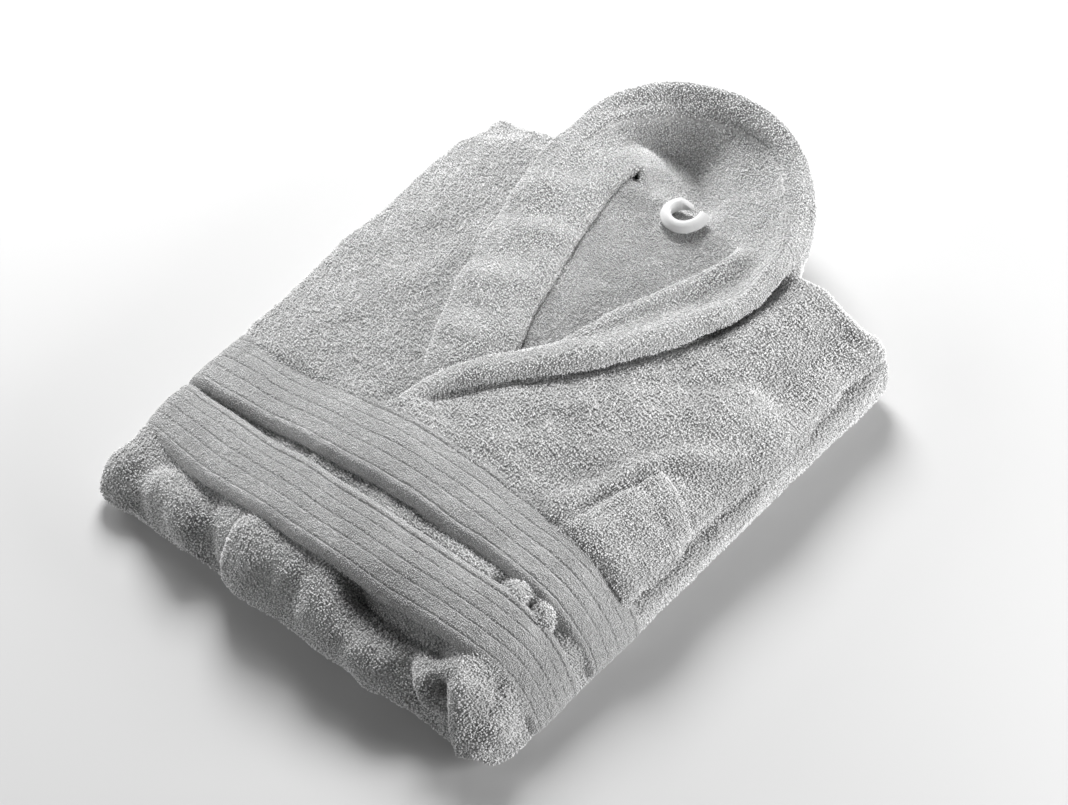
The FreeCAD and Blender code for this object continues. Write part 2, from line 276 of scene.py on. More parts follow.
# Cross-sections of the under layers from the far left over the top to the far right, as (x, z).
UNDER_TOP = {
    -214: [(-177, 20), (-173, 32), (-150, 38), (-104, 45), (-54, 57), (0, 62), (60, 62), (115, 61),
           (138, 52), (152, 40), (162, 30), (168, 22), (171, 14)],
    -150: [(-177, 20), (-173, 32), (-150, 39), (-104, 46), (-54, 58), (0, 62), (60, 62), (115, 61),
           (138, 52), (152, 41), (162, 31), (168, 23), (171, 14)],
    -111: [(-177, 20), (-174, 33), (-151, 43), (-104, 52), (-54, 63), (0, 62), (60, 62), (115, 61),
           (138, 52), (152, 42), (162, 33), (170, 26), (172, 15)],
    -99: [(-178, 20), (-175, 36), (-153, 48), (-104, 60), (-54, 70), (0, 68), (60, 68), (113, 63),
          (139, 55), (152, 45), (161, 37), (171, 31), (173, 18)],
    -70: [(-179, 20), (-176, 37), (-154, 48), (-104, 61.5), (-54, 71), (0, 68), (60, 68), (113, 66),
          (140, 58), (153, 47), (161, 38), (173, 33), (175, 18)],
    0: [(-179, 20), (-177, 38), (-156, 49), (-104, 64), (-54, 71), (0, 68), (60, 68), (113, 66),
        (140, 58), (154, 47), (162, 38), (174, 33.5), (176, 19)],
    90: [(-180, 20), (-178, 38), (-157, 50), (-106, 66), (-54, 71), (0, 68), (60, 68), (113, 66),
         (140, 58), (155, 47), (163, 38), (174, 33.5), (176, 20)],
    130: [(-180, 20), (-178, 38), (-157, 50), (-108, 67), (-54, 71), (0, 68), (60, 68), (113, 65),
          (139, 57), (154, 47), (162, 38), (174, 34), (176, 21)],
    158: [(-177, 18), (-174, 33), (-154, 43), (-114, 60), (-60, 68), (0, 67), (60, 67), (112, 65),
          (138, 56), (153, 46), (161, 38), (172, 35), (175, 22)],
}
# Their underside, between the two ends of the section above it.
UNDER_BASE = [(-175, 8), (-166, 0.6), (-100, 0.2), (0, 0.2), (100, 0.2), (164, 0.6), (173, 8)]


def fold_rows(foot_angle, head_angle):
    """Positions along the bundle as (fold angle at the foot, y, fold angle at the head)."""
    foot_count = int(foot_angle / 90 * FOOT_ROWS)
    flat_count = int((HEAD_START - FOOT_START) / ROW_STEP)
    rows = [(a, FOOT_START, 0.0) for a in np.linspace(foot_angle, 0, foot_count)[:-1]]
    rows += [(0.0, y, 0.0) for y in np.linspace(FOOT_START, HEAD_START, flat_count)]
    rows += [(0.0, HEAD_START, a) for a in np.linspace(0, head_angle, HEAD_ROWS)[1:]]
    return rows


def bend_ends(section, rows, foot_reach, head_reach, foot_mid, lowest=5.0):
    """Turns sections (rows, n, 2) into points, folded over at the foot and at the head."""
    grid = np.zeros(section.shape[:2] + (3,))
    for r, (foot, y, head) in enumerate(rows):
        x, z = section[r, :, 0].copy(), section[r, :, 1].copy()
        f, h = math.radians(foot), math.radians(head)
        if foot:
            drop = z - foot_mid if foot <= 90 else np.full_like(z, foot_mid - lowest)
            z = foot_mid + drop * math.cos(f)
            y = y - foot_reach * math.sin(f)
            x = x * (1 - FOOT_NARROWING * (1 - abs(math.cos(f))) ** 1.5)
        if head:
            z = HEAD_MID + (z - HEAD_MID) * math.cos(h)
            y = y + head_reach * math.sin(h) ** 0.8
            x = x * (1 - HEAD_NARROWING * (1 - math.cos(h)) ** 1.5)
        grid[r] = as_grid(x, y, z)
    return grid


UNDER_MOVES = [
    # soft ridge down the left chest, and the hollow towards the lapel
    ([(-85, 40, 66), (-100, 0, 62), (-118, -45, 55)], 14, 2.5),
    ([(-96, 96, 68), (-112, 60, 64), (-134, 20, 55)], 16, -2.0),
    # lumps of the left under layer at the foot fold
    ([(-124, -222, 36), (-110, -228, 36), (-98, -234, 32)], 12, 9.0),
    ([(-148, -224, 30), (-140, -236, 20)], 9, -7.0),
    ([(-168, -226, 24), (-162, -236, 12)], 12, 4.0),
    ([(-82, -226, 38), (-76, -238, 26), (-76, -242, 12)], 10, -8.0),
    ([(-138, -212, 42), (-116, -214, 46), (-90, -216, 50)], 9, -6.0),
    # uneven bulge of the lower layer along the right side
    ([(176, -60, 30), (176, -20, 30)], 12, 2.0),
    ([(176, 60, 30), (176, 80, 30)], 10, -1.5),
    ([(174, 140, 38), (172, 160, 40)], 12, 3.0),
]


def under_layers():
    """Left front, folded sides, back and the layer that bulges out under the right front."""
    rows = fold_rows(90, 90)
    count = 150
    ys = np.array([r[1] for r in rows])
    stations = sorted(UNDER_TOP)
    sections = np.array([curve(np.array(UNDER_TOP[y], float), count) for y in stations])
    top = steady(sections, np.clip(ys, stations[0], stations[-1]), np.array(stations, float))
    base = np.zeros((len(rows), count, 2))
    for r in range(len(rows)):
        points = [tuple(top[r, 0])] + UNDER_BASE + [tuple(top[r, -1])]
        base[r] = curve(np.array(points, float), count)
    upper = bend_ends(top, rows, 27, 12, UNDER_FOOT_MID)
    lower = bend_ends(base, rows, 27, 12, UNDER_FOOT_MID)
    for grid_row in (0, -1):
        middle = (upper[grid_row] + lower[grid_row]) / 2
        upper[grid_row] = lower[grid_row] = middle
    grid = np.concatenate([upper, lower[:, -2:0:-1]], axis=1)
    out = upward(normals(grid, closed=True), len(rows) // 2, 40)
    out[0], out[-1] = 0, 0
    grid = sculpt(grid, out, UNDER_MOVES)
    # inside the folded foot of the right front the layers lie further in, and sag under the belt
    x, y, z = grid[..., 0], grid[..., 1], grid[..., 2]
    covered = ramp_up(x, -42, 30) * ramp_up(z, 16, 18)
    grid[..., 1] = np.where(y < FOOT_START, FOOT_START + (y - FOOT_START) * (1 - 0.6 * covered), y)
    sag = ramp_up(x, 14, 22) * ramp_up(146 - x, 0, 20) * ramp_up(-184 - y, 0, 24)
    sag_depth = 26
    grid[..., 2] = z - sag_depth * sag * ramp_up(z, 14, 22)
    top_side = np.clip((grid[..., 2] - 4) / 12, 0.12, 1)
    grid = rough(grid, out * top_side[..., None], [(46, 1.4), (19, 1.0), (8, 0.55), (3.6, 0.3)], 3)
    # the underside leaves room for the belt's run under the bundle, also when the belt slides
    room = ramp_up(158 - np.abs(grid[..., 0]), 0, 10) * ramp_up(-88 - grid[..., 1], 0, 8)
    lowest, recess = 0.15, 2.6
    grid[..., 2] = np.maximum(grid[..., 2], lowest + recess * room)
    obj = make("left_front_and_back", grid.reshape(-1, 3), ring_faces(*grid.shape[:2]))
    tidy_mesh(obj, 0.0004)
    return obj


# Centre surface of the right front in a section under the belt and in one on the chest: first
# (share of the way from its left edge to SHARED_X, z), then (x, z) down the right side.
SHARED_X = 112
RIGHT_BELT = [(0.0, 55), (0.3, 60), (0.65, 62.5), (1.0, 62.5), (130, 60), (143, 53.5), (154, 43.5),
              (162, 34), (166.5, 25)]
RIGHT_CHEST = [(0.0, 70), (0.3, 71), (0.65, 71), (1.0, 70.5), (134, 69.5), (149, 65), (160, 57.5),
               (166.5, 51), (169, 45.5)]
# Left edge of the right front, as (y, x): the free edge below the lapel, hidden under it above.
LEFT_EDGE = [(-260, -54), (-112, -54), (-100, -40), (-88, -33), (-62, -26), (-30, -10), (2, 17),
             (45, 29), (118, 52), (160, 63), (175, 67)]

FRONT_MOVES = [
    # the side drops under the belt's edge
    ([(146, -100, 68), (158, -98, 60), (168, -96, 49)], 17, -4.5),
    # wrinkle beside the pocket, with hollows on both sides
    ([(99, -92, 72), (113, -56, 73), (124, -25, 73), (143, 0, 72), (163, 24, 66)], 8, 5.0),
    ([(90, -84, 72), (102, -50, 72), (112, -16, 72), (130, 14, 72)], 14, -2.5),
    ([(112, -86, 72), (121, -60, 72), (128, -44, 72)], 6, -2.0),
    ([(138, -20, 72), (150, -14, 70), (162, -4, 66)], 8, -3.0),
    # hollow under the collar roll
    ([(-24, -70, 70), (4, -32, 70), (22, -12, 70), (43, 16, 70), (63, 50, 70), (77, 79, 70),
      (88, 108, 70), (90, 145, 70)], 8, -8.0),
    ([(10, -66, 72), (40, -40, 72), (66, -4, 72), (88, 30, 72)], 10, 2.0),
    # hollow below the shoulder, a diagonal crease and a low ridge beside it
    ([(147, 82, 69), (150, 112, 68), (151, 148, 67)], 17, -13.0),
    ([(131, 78, 72), (102, 42, 72), (86, 28, 72)], 9, -3.0),
    ([(118, 158, 72), (110, 126, 72), (102, 92, 72)], 9, 2.5),
    # broad swells on the chest
    ([(66, -40, 72), (88, 0, 72)], 20, 2.2),
    ([(30, -74, 72), (60, -62, 72)], 14, 2.4),
    ([(40, -50, 72), (56, -34, 72)], 9, -2.0),
    # double ridge along the lower edge on the right side
    ([(165, -80, 52), (166, 20, 52), (165, 120, 52), (160, 165, 52)], 4.5, 1.6),
    ([(170, -80, 43), (171, 20, 43), (170, 120, 43)], 3.5, 1.4),
    ([(170, -44, 46), (171, -8, 46)], 9, -4.0),
    ([(171, 36, 46), (171, 78, 46)], 9, 3.0),
    ([(170, 118, 44), (170, 142, 44)], 8, -3.0),
    # the top sinks a little under the lower belt turn
    ([(-50, -213, 64), (0, -214, 67), (60, -214, 67), (110, -214, 65)], 13, -4.5),
    # foot fold: lumps, the deep hollow under the belt, a crease and the corner ridge
    ([(18, -232, 44), (32, -244, 40)], 11, 4.5),
    ([(-30, -222, 62), (-8, -226, 64)], 12, 3.0),
    ([(-22, -240, 46), (0, -244, 44)], 9, -2.0),
    ([(38, -217, 62), (58, -219, 62), (84, -219, 61), (104, -217, 60)], 12, -27.0),
    ([(46, -229, 58), (64, -231, 57), (88, -230, 56)], 10, -15.0),
    ([(-46, -222, 62), (-38, -238, 50), (-36, -247, 36)], 12, 5.0),
    ([(0, -226, 62), (4, -240, 50)], 8, -5.0),
    ([(62, -243, 38), (74, -243, 30)], 11, 6.0),
    ([(94, -240, 46), (108, -242, 34), (122, -243, 24)], 9, -13.0),
    ([(112, -240, 48), (120, -242, 38)], 6, 5.0),
    ([(124, -234, 50), (132, -238, 36), (140, -241, 20)], 6.5, -15.0),
    ([(135, -228, 52), (144, -236, 36), (150, -238, 22)], 7, 8.0),
    ([(158, -220, 46), (164, -230, 30)], 8, 5.0),
    ([(150, -212, 48), (156, -224, 40)], 5, -5.0),
    # robe swelling up against the belt and in the gap between its turns
    ([(-50, -90, 72), (0, -88, 76), (60, -90, 76), (108, -92, 74), (140, -92, 66),
      (160, -91, 54)], 13, 3.0),
    ([(-56, -157, 60), (0, -158, 67), (60, -159, 67), (98, -159, 66)], 6, 5.5),
    # puffs and hollows in the gap at the right side
    ([(120, -156, 62), (124, -161, 60)], 7, 9.0),
    ([(139, -155, 56), (142, -160, 54)], 6.5, 9.0),
    ([(106, -157, 66), (107, -162, 66)], 4.5, -9.0),
    ([(131, -157, 60), (132, -162, 60)], 3.5, -9.0),
    ([(152, -155, 50), (153, -162, 48)], 5, -9.0),
    ([(-40, -247, 22), (30, -248, 20), (110, -248, 20)], 10, 1.5),
]


def right_front():
    """The upper layer: right chest, its fold down the right side and its fold at the foot."""
    rows = fold_rows(150, 62)
    ys = np.array([r[1] for r in rows])
    edge_x = np.interp(ys, *zip(*LEFT_EDGE))
    count = 120
    section = np.zeros((len(rows), count, 2))
    blend = ease(np.interp(ys, [-110, -97], [0, 1]))
    belt, chest = np.array(RIGHT_BELT), np.array(RIGHT_CHEST)
    shared = belt[:, 0] <= 1
    for r in range(len(rows)):
        points = belt + (chest - belt) * blend[r]
        points[shared, 0] = edge_x[r] + (SHARED_X - edge_x[r]) * belt[shared, 0]
        section[r] = curve(points, count)
    grid = bend_ends(section, rows, 29.5, 9.5, FRONT_FOOT_MID, lowest=8.0)
    out = upward(normals(grid), len(rows) // 2, 40)
    grid = sculpt(grid, out, FRONT_MOVES)
    grid = rough(grid, out, [(52, 1.6), (21, 1.1), (9, 0.6), (3.8, 0.3)], 8)
    # the left edge is thicker at the foot, where it shows as a hem; above, both edges are thinner
    at_foot = ramp_up(-195 - grid[:, :1, 1], 0, 20)
    across = np.linspace(0, 1, count)
    left_edge = bell(across, 0, 0.05)
    right_edge = bell(1 - across, 0, 0.03)
    half = 4.4 + (2.4 * at_foot - 0.8) * left_edge - 1.2 * right_edge
    return slab("right_front", grid, half, out)


# ---- lapels and hood ----
# Each station of the facing runs from the neck fold (or neck seam) to the free edge:
# inner, inner middle, outer middle, stitch line, hem middle, free edge. HOOD_BACK is the outside of
# the hood, from its rim down to the table and in under the neck.
LEFT_LAPEL = [
    [(8, -38, 64), (0, -44, 65), (-8, -50, 65), (-15, -56, 64), (-21, -61, 63), (-27, -66, 62)],
    [(-3, -17, 70), (-10, -24, 72), (-19, -33, 73), (-28, -42, 73), (-35, -49, 72), (-41, -56, 70)],
    [(-10, -4, 72.5), (-18, -8, 74.5), (-28, -13, 75.5), (-39, -18, 76), (-47, -24, 75.5), (-54, -30, 73)],
    [(-20, 19, 73), (-28, 17, 75.5), (-39, 15, 76.5), (-50, 12, 77), (-59, 7, 76), (-67, 2, 72.5)],
    [(-28, 49, 73), (-38, 48, 75.5), (-49, 47, 76.5), (-61, 46, 77), (-71, 43, 75.5), (-79, 40, 72)],
    [(-36, 76, 73), (-47, 75, 76), (-58, 74, 77), (-70, 73, 77.5), (-79, 70, 76), (-87, 67, 73)],
    [(-45, 115, 73), (-55, 112, 76), (-66, 110, 77.5), (-77, 107, 78.5), (-87, 105, 77.5), (-95, 104, 74)],
    [(-49, 142, 73), (-59, 141, 76.5), (-70, 139, 78.5), (-81, 138, 80.5), (-91, 138, 79), (-101, 139, 75.5)],
]
HOOD = [
    [(-50, 162, 73), (-60, 165, 73), (-71, 166, 73.5), (-84, 167, 79), (-93, 168, 81), (-100, 166, 81)],
    [(-44, 170, 73), (-52, 180, 70), (-64, 188, 65), (-80, 187, 79), (-90, 192, 82), (-96, 193.5, 86.5)],
    [(-33, 160, 66), (-38, 184, 58), (-52, 202, 52), (-69, 205, 78), (-77, 211, 83), (-82, 215, 91)],
    [(-14, 160, 62), (-21, 188, 48), (-34, 211, 43), (-49, 226, 76), (-53.5, 232, 84.5),
     (-56.5, 235.5, 94.5)],
    [(-3, 160, 60), (-10, 190, 42), (-24, 213, 42), (-27, 236, 77), (-26, 242, 87), (-27, 248, 95)],
    [(6, 160, 60), (2, 187, 46), (-5, 210, 55), (0, 238, 78), (2, 243, 88), (3, 249, 96)],
    [(16, 160, 61), (20, 184, 58), (24, 206, 66), (28, 229, 79), (32, 235, 87), (35, 241, 92)],
    [(30, 160, 63), (38, 178, 63), (47, 194, 70), (51, 210, 81), (57, 214, 84), (64, 220, 84.5)],
    [(44, 159, 66), (54, 171, 67), (63, 181, 72), (68, 190, 82), (74, 193, 84), (82, 196, 81)],
    [(54, 156, 71), (64, 163, 70.5), (73, 166, 74), (82, 166, 83), (86, 167, 82.5), (89, 168, 77)],
]
HOOD_BACK = [
    [(-100, 168, 74), (-100, 169, 62), (-90, 170, 38), (-72, 168, 16), (-58, 160, 9), (-50, 150, 9)],
    [(-96, 196, 74), (-92, 199, 62), (-80, 195, 38), (-64, 184, 16), (-50, 170, 8), (-42, 152, 9)],
    [(-83, 217, 76), (-80, 219, 62), (-68, 212, 38), (-52, 200, 14), (-40, 180, 7), (-32, 154, 9)],
    [(-57, 235, 81), (-56, 238, 64), (-48, 230, 38), (-38, 214, 13), (-28, 190, 7), (-22, 156, 9)],
    [(-27, 245, 85), (-27, 247, 68), (-24, 239, 40), (-20, 222, 13), (-16, 194, 7), (-12, 156, 9)],
    [(3, 246, 86), (3, 248, 68), (3, 240, 40), (2, 223, 13), (0, 194, 7), (0, 156, 9)],
    [(34, 238, 83), (35, 240, 64), (30, 232, 38), (24, 215, 13), (18, 190, 7), (12, 156, 9)],
    [(61, 218, 78), (62, 219, 62), (56, 212, 38), (46, 198, 14), (34, 180, 7), (22, 154, 9)],
    [(78, 194, 77), (79, 196, 62), (73, 192, 38), (60, 182, 16), (44, 168, 8), (32, 152, 9)],
    [(89, 168, 73), (90, 168, 60), (83, 168, 38), (68, 166, 16), (52, 158, 9), (40, 150, 9)],
]
RIGHT_LAPEL = [
    [(58, 146, 78), (67, 145, 74), (77, 143, 75), (85, 140, 82), (88, 140, 81.5), (89, 139, 77)],
    [(52, 118, 78.5), (62, 116, 74), (73, 113, 76), (83, 109, 83), (87, 108, 82), (87, 107, 77)],
    [(41, 88, 78.5), (50, 86, 74.5), (60, 84, 76), (72, 81, 83.5), (76, 80, 82.5), (77, 79, 77.5)],
    [(30, 59, 78.5), (38, 58, 75.5), (47, 57, 77.5), (59, 54, 84), (63, 52.5, 83), (65, 51, 78)],
    [(21, 29, 77), (26, 27, 77), (32, 25, 80), (39.5, 21, 84), (43, 19, 83), (44.5, 17.5, 78)],
    [(10, 4, 73), (12, 2, 76.5), (15, -1, 80.5), (20, -5, 83), (24, -8, 82), (26.5, -10, 77)],
    [(-4, -12, 72), (-2, -14, 75.5), (1, -17, 78.5), (5, -21, 80.5), (9, -24, 79.5), (10, -25, 75.5)],
    [(-21, -38, 71), (-20, -39, 74), (-18, -41, 76.5), (-15, -44, 77.5), (-12, -47, 76.5), (-11, -48, 73)],
    [(-31, -62, 70), (-30.5, -62, 72.5), (-29.5, -63, 74.5), (-28, -65, 75.5), (-26, -67, 74.5),
     (-25, -68, 71.5)],
    [(-36, -86, 68), (-35.5, -86, 70), (-35, -86.5, 71.5), (-34, -87, 72), (-33, -88, 71.5),
     (-32, -88.5, 69)],
    [(-37, -104, 63), (-36.5, -104, 64), (-36, -105, 65), (-35, -105, 65.5), (-34, -106, 65),
     (-33, -106, 63.5)],
]
STITCH = 0.6  # share of the way across at which the hem's stitch line runs
ROLL = [5.0, 5.2, 5.2, 5.2, 5.2, 5.0, 4.6, 4.0, 3.3, 2.6, 1.8]  # radius of the right lapel's roll
ROLL_DEGREES = 215  # how far the right lapel's free edge is rolled round


def facing_grid():
    """Grid of the lapels and the hood's inside, with the right lapel's free edge rolled round."""
    stations = LEFT_LAPEL + HOOD + RIGHT_LAPEL
    rows, columns = 420, 84
    grid = loft(stations, rows, columns)
    knots = along(stations)
    t = np.linspace(0, 1, rows)
    first = len(stations) - len(ROLL)
    radius = np.interp(t, knots[first:], ROLL)
    share = np.clip((t - knots[first - 1]) / (knots[first + 1] - knots[first - 1]), 0, 1)
    share = ease(share)[:, None]
    crest_column = int(round(STITCH * (columns - 1)))
    crest = grid[:, crest_column]
    run = np.gradient(crest, axis=0)
    side = unit(np.stack([run[:, 1], -run[:, 0], 0 * run[:, 0]], axis=1))
    side = side * np.where(((grid[:, -1] - crest) * side).sum(-1) < 0, -1, 1)[:, None]
    turn = np.radians(np.linspace(0, ROLL_DEGREES, columns - crest_column))
    for column, a in enumerate(turn, crest_column):
        rolled = crest + side * (radius * math.sin(a))[:, None]
        rolled[:, 2] += radius * (math.cos(a) - 1)
        grid[:, column] += (rolled - grid[:, column]) * share
    return grid, upward(normals(grid), 40, 40), knots


FACING_MOVES = [
    # puckers along the left hem
    ([(-30, -20, 76), (-50, -26, 74)], 8, 1.8),
    ([(-36, 4, 76), (-60, -10, 75)], 8, -1.8),
    ([(-40, 36, 77), (-72, 14, 75)], 9, 2.1),
    ([(-56, 50, 77), (-78, 34, 75)], 7, -1.9),
    ([(-46, 84, 77), (-84, 54, 76)], 9, 2.2),
    ([(-62, 92, 78), (-88, 76, 76)], 7, -2.0),
    ([(-56, 126, 78), (-94, 96, 77)], 9, 1.4),
    ([(-72, 132, 79), (-98, 118, 77)], 7, -1.2),
    ([(-66, 158, 80), (-100, 142, 80)], 8, 1.1),
]


def facing():
    """Turned-back lapels and the hood as one facing, with its sewn hem along the free edge."""
    grid, out, knots = facing_grid()
    rows, columns = grid.shape[:2]
    s = np.linspace(0, 1, columns)[None, :]
    t = np.linspace(0, 1, rows)[:, None]
    grid = sculpt(grid, out, FACING_MOVES)
    grid = rough(grid, out, [(40, 1.2), (16, 0.8), (7, 0.4), (3.4, 0.2)], 21)
    # the hem is doubled cloth, with a sewn ridge between two grooves; both fade along the lapels
    hem = ease(ramp_up(s - STITCH, 0.02, 0.08))
    ridge = bell(s, STITCH, 0.016)
    groove = bell(s - STITCH, -0.05, 0.02) + bell(s - STITCH, 0.05, 0.02)
    first = len(knots) - len(ROLL)
    sewn = ramp_up(t, knots[len(LEFT_LAPEL) - 1], 0.06) * ramp_up(knots[first + 2] - t, 0, 0.08)
    half = 3.0 + 1.0 * hem + (0.7 * ridge - 0.6 * groove) * (0.15 + 0.85 * sewn)
    half = half - 2.2 * ramp_up(s, 0.8, 0.2) ** 1.3 * sewn
    # along the right lapel the hem stays thinner than the roll's radius
    thin = np.interp(t, knots[first:], [0.8 * r for r in ROLL], left=9.0)
    half = half - np.clip(half - np.maximum(thin, 1.4), 0, None) * hem
    return slab("hood_and_lapels", grid, half, out, edge_steps=7, bare=0.8 * ridge * sewn)


def hood_back():
    """Outside of the hood: hangs from the rim to the table and runs in under the neck."""
    grid = loft(HOOD_BACK, 150, 90)
    out = normals(grid)
    if out[75, 20, 1] < 0:
        out = -out
    grid = sculpt(grid, out, [([(-20, 250, 70), (-24, 235, 30), (-20, 200, 8)], 10, -2.5),
                              ([(20, 246, 66), (26, 232, 34)], 12, 2.0),
                              ([(-70, 226, 60), (-56, 208, 26)], 12, 2.0)])
    grid = rough(grid, out, [(34, 2.0), (14, 1.0), (6, 0.4)], 71)
    lowest = 4.5
    grid[..., 2] = np.maximum(grid[..., 2], lowest)
    return slab("hood_outside", grid, 3.2, out)


# ---- yoke, pocket, belt and loop ----
# Sections of the yoke, as (y, x at the left, x at the right, z).
YOKE = [(-26, -16, 14, 67.5), (0, -14, 24, 68.5), (30, -28, 36, 69.0), (70, -40, 50, 69.0),
        (110, -52, 64, 69.0), (145, -60, 76, 69.2), (156, -62, 80, 69.5), (163, -62, 80, 65)]


def yoke():
    """Flat short-pile layer that shows in the neck opening."""
    stations = [[(x0 + (x1 - x0) * k / 4, y, z - 1.0 * math.sin(math.pi * k / 4)) for k in range(5)]
                for y, x0, x1, z in YOKE]
    grid = loft(stations, 130, 90)
    out = upward(normals(grid), 60, 40)
    grid = sculpt(grid, out, [([(12, 20, 68), (18, 44, 68), (20, 66, 68)], 9, -1.5),
                              ([(-30, 80, 68), (-6, 66, 68), (10, 40, 68)], 12, 1.4)])
    grid = rough(grid, out, [(30, 0.8), (12, 0.4)], 31)
    return slab("back_neck_yoke_cloth", grid, 1.8, out)


# Section of a belt turn as (x, z), from its left end under the bundle over the top to its right end.
BELT_TOP = [(-150, 2.8), (-166, 3.8), (-175, 13), (-176.5, 28), (-171, 39), (-150, 46), (-104, 56.5),
            (-54, 68.5), (-10, 74), (40, 74.5), (90, 74), (124, 70.5), (144, 62), (158, 49), (168.5, 33),
            (174, 14), (166, 3.8), (150, 2.8)]
# The belt's sewn channels: (share of the way across, depth).
CHANNELS = [(0.06, 1.0), (0.25, 0.7), (0.45, 1.0), (0.65, 0.8), (0.88, 1.0)]
HEAD_MARGIN = 2.8  # the cloth ends this much inside the head line, for its rounded edge
FOOT_MARGIN = 3.6  # the same at the foot line


def belt_band(name, head, foot_y, seed, lift=0.0, drop=1.5, turned_down=3.0):
    """One turn of the belt: a stitched band over the top and round both sides.

    Its head edge is given as (x, y), its foot edge as a y for each of the same x. It sinks by drop
    towards its foot edge, which turns down at the end.
    """
    path = curve(np.array(BELT_TOP, float), 330)
    s = np.linspace(0, 1, 120)
    xs, head_y = np.array(head, float).T
    at = np.clip(path[:, 0], xs[0], xs[-1])
    head_line = hermite(head_y - HEAD_MARGIN, at, xs)
    foot_line = hermite(np.array(foot_y, float) + FOOT_MARGIN, at, xs)
    grid = as_grid(path[:, 0:1], head_line[:, None] + (foot_line - head_line)[:, None] * s,
                   path[:, 1:2] + lift)
    out = upward(normals(grid), len(path) // 2, 60)
    turned = ramp_up(s, 0.94, 0.06) ** 1.5
    grid = grid - out * (turned_down * turned)[None, :, None]
    top = ramp_up(grid[..., 2], 8, 14)
    grid[..., 2] -= drop * top * s ** 1.8
    arch = 1 - (2 * s - 1) ** 2
    grid = grid + out * (top * (arch * 1.4))[..., None]
    grid = rough(grid, out * top[..., None], [(60, 1.8), (26, 1.0), (9, 0.35)], seed)
    grid = rough(grid, np.array([0, 1.0, 0]) * top[..., None], [(34, 1.4)], seed + 5)
    grooves = sum(depth * bell(s, place, 0.013) for place, depth in CHANNELS)
    half = 2.5 - 1.1 * grooves + 0.5 * bell(s, 0.015, 0.035) + 0.5 * bell(s, 0.96, 0.07)
    half = half + 0.16 * lattice_noise(grid, 6.0, seed + 9) - 0.9 * ramp_up(s, 0.88, 0.08)
    return slab(name, grid, half, out, edge_steps=6, bare=np.broadcast_to(grooves, half.shape))


def patch(corners, u, v):
    """Flat grid between four corners: u runs from the first to the second, v to the last."""
    a, b, c, d = [np.array(p, float) for p in corners]
    return (a * (1 - u) + b * u) * (1 - v) + (d * (1 - u) + c * u) * v


UNDER_BELT_Z = 1.2  # height of the middle of the run under the bundle
UNDER_BELT_HALF = 1.0  # half its thickness


def belt_under(name, corners):
    """Flat run of the belt under the bundle, between its corners (x, y)."""
    flat = patch(corners, np.linspace(0, 1, 60)[:, None, None], np.linspace(0, 1, 24)[None, :, None])
    grid = as_grid(flat[..., 0], flat[..., 1], UNDER_BELT_Z)
    return slab(name, grid, UNDER_BELT_HALF, np.broadcast_to(np.array([0, 0, 1.0]), grid.shape))


SMOOTH_PASSES = 3  # times the draped grid is smoothed
START_BACK = 0.05  # metres behind the grid from which its rays start


def drape(obj, targets, direction, lift):
    """Moves a grid of points along a direction until they rest on a piece, then lifts them off it."""
    surface = BVHTree.FromPolygons([v.co.copy() for v in obj.data.vertices],
                                   [p.vertices[:] for p in obj.data.polygons])
    aim = Vector(direction).normalized()
    grid = targets.copy()
    for r in range(grid.shape[0]):
        for c in range(grid.shape[1]):
            start = Vector(targets[r, c] * MM) - aim * START_BACK
            hit, normal, _, _ = surface.ray_cast(start, aim)
            if hit is not None:
                if normal.dot(aim) > 0:
                    normal = -normal
                grid[r, c] = np.array(hit + normal * lift * MM) / MM
    for _ in range(SMOOTH_PASSES):
        grid[1:-1] = (grid[:-2] + grid[1:-1] * 2 + grid[2:]) / 4
        grid[:, 1:-1] = (grid[:, :-2] + grid[:, 1:-1] * 2 + grid[:, 2:]) / 4
    return grid


def pocket(front):
    """The part of the patch pocket above the belt, with its sewn left side and upper edge."""
    corners = [(112, -106, 72), (171, -104, 50), (170, -42, 55), (134, -29, 72)]
    v = np.linspace(0, 1, 80)[:, None]
    u = np.linspace(0, 1, 64)[None, :]
    into_cloth = (-0.42, 0, -0.9)
    grid = drape(front, patch(corners, u[..., None], v[..., None]), into_cloth, 0.5)
    out = upward(normals(grid), 30, 10)
    grid = rough(grid, out, [(24, 0.8), (10, 0.4)], 41)
    hem = ramp_up(v, 0.80, 0.04)
    groove = bell(v, 0.79, 0.014) + bell(u, 0.08, 0.02)
    half = 1.5 + 0.4 * hem - 0.7 * np.clip(groove, 0, 1)
    return slab("pocket_right_patch", grid, half, out)


LOOP_CENTRE = np.array([5.0, 153.5])
LOOP_BEARINGS = [96, 130, 340, 404]  # degrees round the centre, and the ring's radius there
LOOP_RADII = [10.2, 11.0, 11.6, 14.6]
LOOP_LOW, LOOP_HIGH = 74.0, 78.6  # lower and upper edge of the tape


